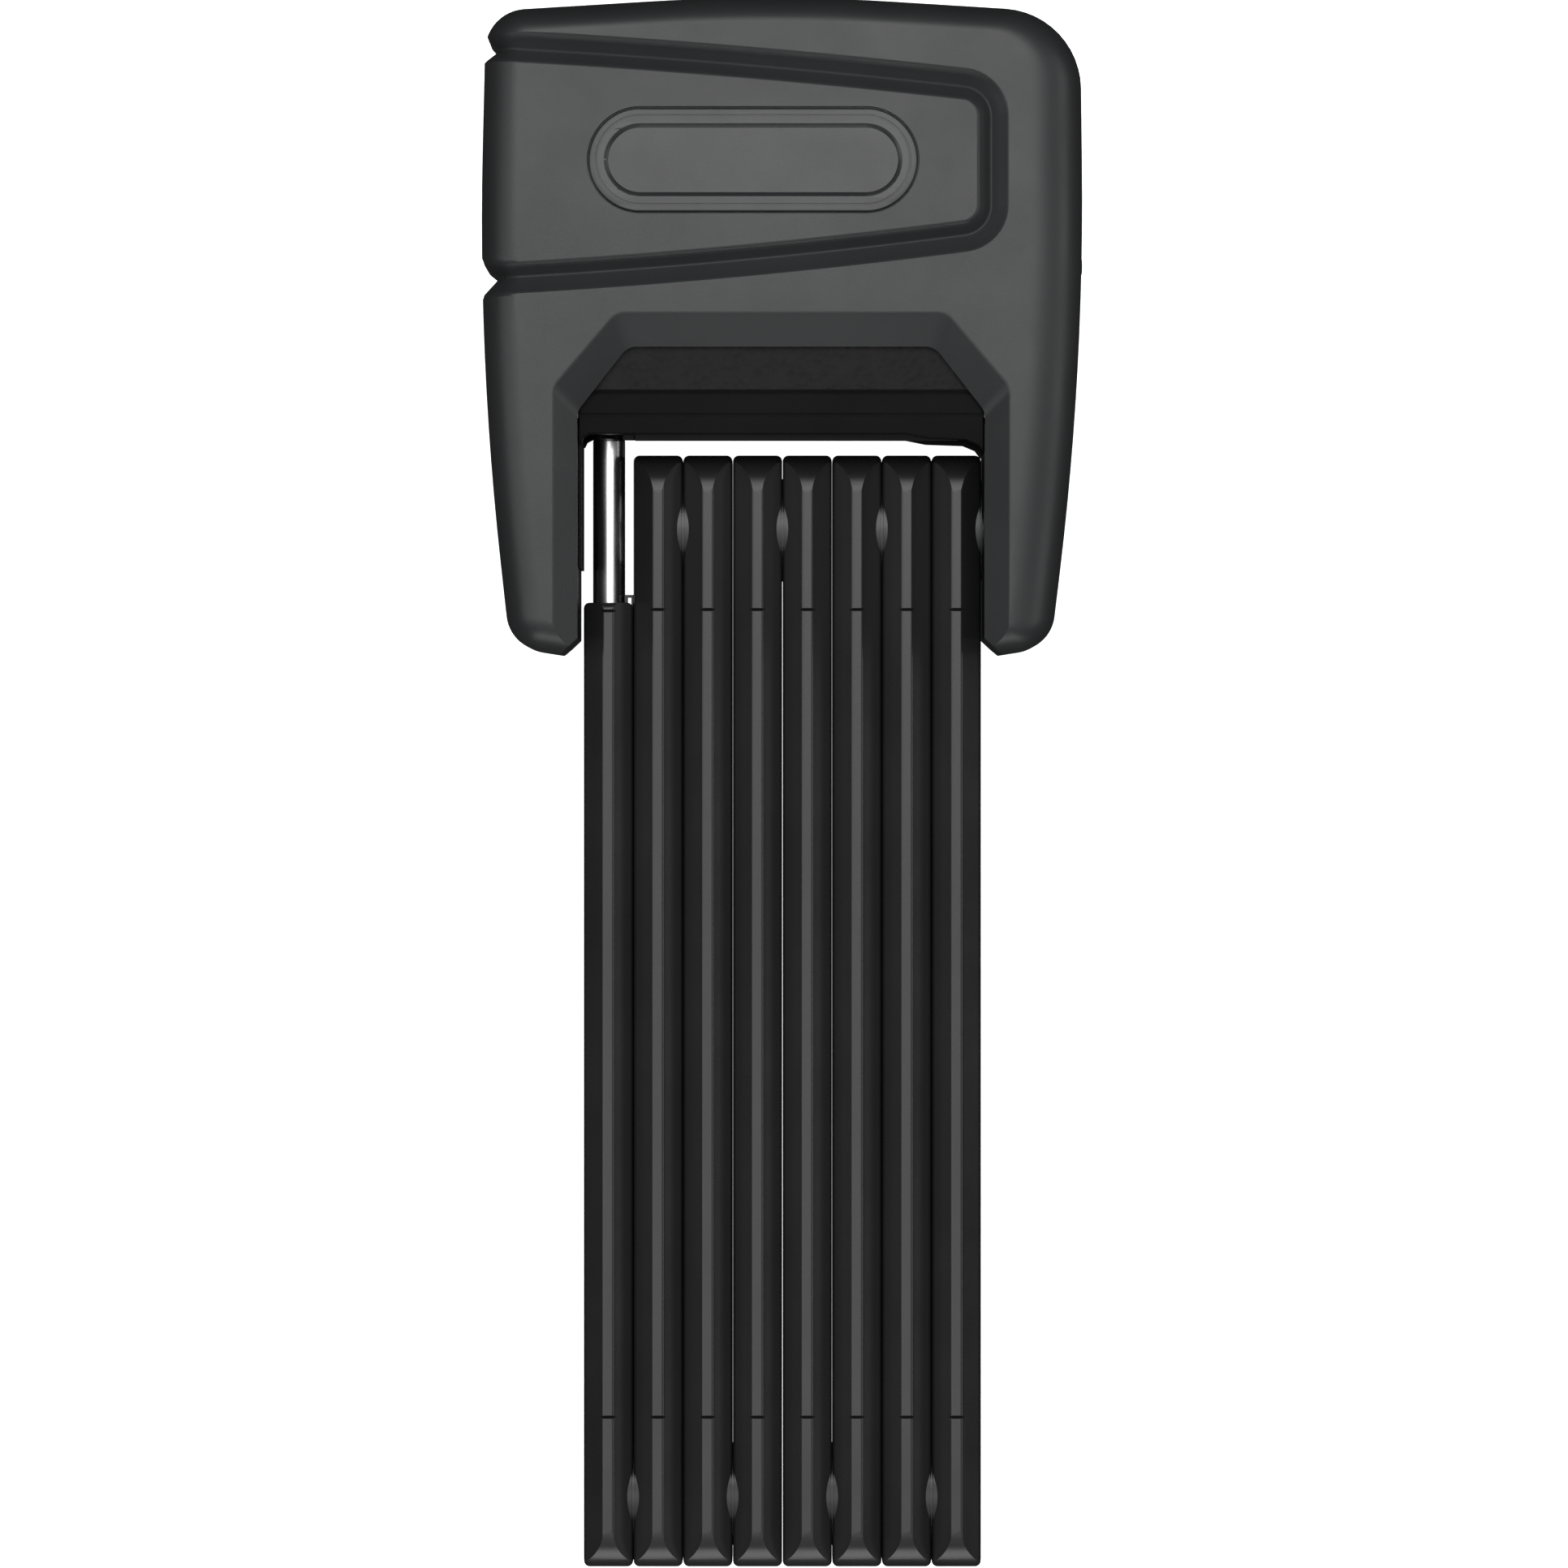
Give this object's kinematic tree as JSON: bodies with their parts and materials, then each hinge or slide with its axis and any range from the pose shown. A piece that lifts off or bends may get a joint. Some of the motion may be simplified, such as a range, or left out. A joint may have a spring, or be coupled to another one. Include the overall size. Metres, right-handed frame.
{
  "type": "folding bike lock",
  "caption": "Folding bike lock of coated flat steel bars riveted end to end, stacked side by side in a moulded lock body with a side keyhole and a chromed locking bolt.",
  "frame": {"origin": "centre of the bounding box's bottom face, which is the middle of the flat back that the lock lies on", "axes": "+Z out of the lock's front, +Y towards the head and away from the folded bars' free ends, +X towards the keyhole side; all bar hinges lie along X"},
  "size_m": [0.093, 0.2429, 0.044],
  "materials": {
    "body_plastic": "satin moulded charcoal plastic",
    "liner_plastic": "fine textured black plastic",
    "bar_coating": "soft satin black coating",
    "chrome": "polished chrome",
    "bar_steel": "hardened steel",
    "case_steel": "zinc plated steel",
    "brass": "machined brass",
    "washer_plastic": "smooth black bearing plastic",
    "badge_plastic": "plain grey badge, no marks"
  },
  "bodies": {
    "lock_body": {"front_cover": "body_plastic", "rear_cover": "body_plastic", "bay_liner": "liner_plastic", "badge_plate": "badge_plastic", "lock_case": "case_steel", "case_lid": "case_steel", "hinge_tab": "case_steel", "bolt_guide": "case_steel", "cylinder_body": "brass", "cover_screw_1": "case_steel", "cover_screw_2": "case_steel", "cover_screw_3": "case_steel", "cover_screw_4": "case_steel", "hinge_rivet_8": "bar_steel", "hinge_washer_8": "washer_plastic"},
    "bar_8": {"bar_8_jacket": "bar_coating", "bar_8_core": "bar_steel", "hinge_rivet_7": "bar_steel", "hinge_washer_7": "washer_plastic"},
    "bar_7": {"bar_7_jacket": "bar_coating", "bar_7_core": "bar_steel", "hinge_rivet_6": "bar_steel", "hinge_washer_6": "washer_plastic"},
    "bar_6": {"bar_6_jacket": "bar_coating", "bar_6_core": "bar_steel", "hinge_rivet_5": "bar_steel", "hinge_washer_5": "washer_plastic"},
    "bar_5": {"bar_5_jacket": "bar_coating", "bar_5_core": "bar_steel", "hinge_rivet_4": "bar_steel", "hinge_washer_4": "washer_plastic"},
    "bar_4": {"bar_4_jacket": "bar_coating", "bar_4_core": "bar_steel", "hinge_rivet_3": "bar_steel", "hinge_washer_3": "washer_plastic"},
    "bar_3": {"bar_3_jacket": "bar_coating", "bar_3_core": "bar_steel", "hinge_rivet_2": "bar_steel", "hinge_washer_2": "washer_plastic"},
    "bar_2": {"bar_2_jacket": "bar_coating", "bar_2_core": "bar_steel", "hinge_rivet_1": "bar_steel", "hinge_washer_1": "washer_plastic"},
    "bar_1": {"bar_1_jacket": "bar_coating", "bar_1_core": "bar_steel", "locking_bolt": "chrome", "bolt_pin": "case_steel"},
    "plug": {"cylinder_plug": "brass", "side_bar": "case_steel", "cylinder_cam": "case_steel", "cylinder_disc_1": "brass", "cylinder_disc_2": "brass", "cylinder_disc_3": "brass", "cylinder_disc_4": "brass", "cylinder_disc_5": "brass"},
    "slide": {"locking_slide": "case_steel"},
    "key_cover": {"key_cover": "liner_plastic"}
  },
  "joints": [
    {"name": "hinge_8", "type": "hinge", "parent": "lock_body", "child": "bar_8", "pos_m": [0.02698, 0.0395, 0.022], "axis": [1, 0, 0], "range_deg": [-90, 90]},
    {"name": "hinge_7", "type": "hinge", "parent": "bar_8", "child": "bar_7", "pos_m": [0.01928, -0.1105, 0.022], "axis": [1, 0, 0], "range_deg": [-180, 180]},
    {"name": "hinge_6", "type": "hinge", "parent": "bar_7", "child": "bar_6", "pos_m": [0.01157, 0.0395, 0.022], "axis": [1, 0, 0], "range_deg": [-90, 90]},
    {"name": "hinge_5", "type": "hinge", "parent": "bar_6", "child": "bar_5", "pos_m": [0.00385, -0.1105, 0.022], "axis": [1, 0, 0], "range_deg": [-180, 180]},
    {"name": "hinge_4", "type": "hinge", "parent": "bar_5", "child": "bar_4", "pos_m": [-0.00385, 0.0395, 0.022], "axis": [1, 0, 0], "range_deg": [-90, 90]},
    {"name": "hinge_3", "type": "hinge", "parent": "bar_4", "child": "bar_3", "pos_m": [-0.01157, -0.1105, 0.022], "axis": [1, 0, 0], "range_deg": [-180, 180]},
    {"name": "hinge_2", "type": "hinge", "parent": "bar_3", "child": "bar_2", "pos_m": [-0.01928, 0.0395, 0.022], "axis": [1, 0, 0], "range_deg": [-90, 90]},
    {"name": "hinge_1", "type": "hinge", "parent": "bar_2", "child": "bar_1", "pos_m": [-0.02698, -0.1105, 0.022], "axis": [1, 0, 0], "range_deg": [-180, 180]},
    {"name": "plug_turn", "type": "hinge", "parent": "lock_body", "child": "plug", "pos_m": [0.02, 0.08025, 0.022], "axis": [1, 0, 0], "range_deg": [0, 90]},
    {"name": "slide_travel", "type": "slide", "parent": "lock_body", "child": "slide", "axis": [0, 0, 1], "range_m": [-0.004, 0]},
    {"name": "key_cover_slide", "type": "slide", "parent": "lock_body", "child": "key_cover", "axis": [0, -1, 0], "range_m": [0, 0.0215]}
  ],
  "couplings": [
    {"joint": "plug_turn", "follows": "slide_travel", "rad_per_m": -392.7}
  ]
}
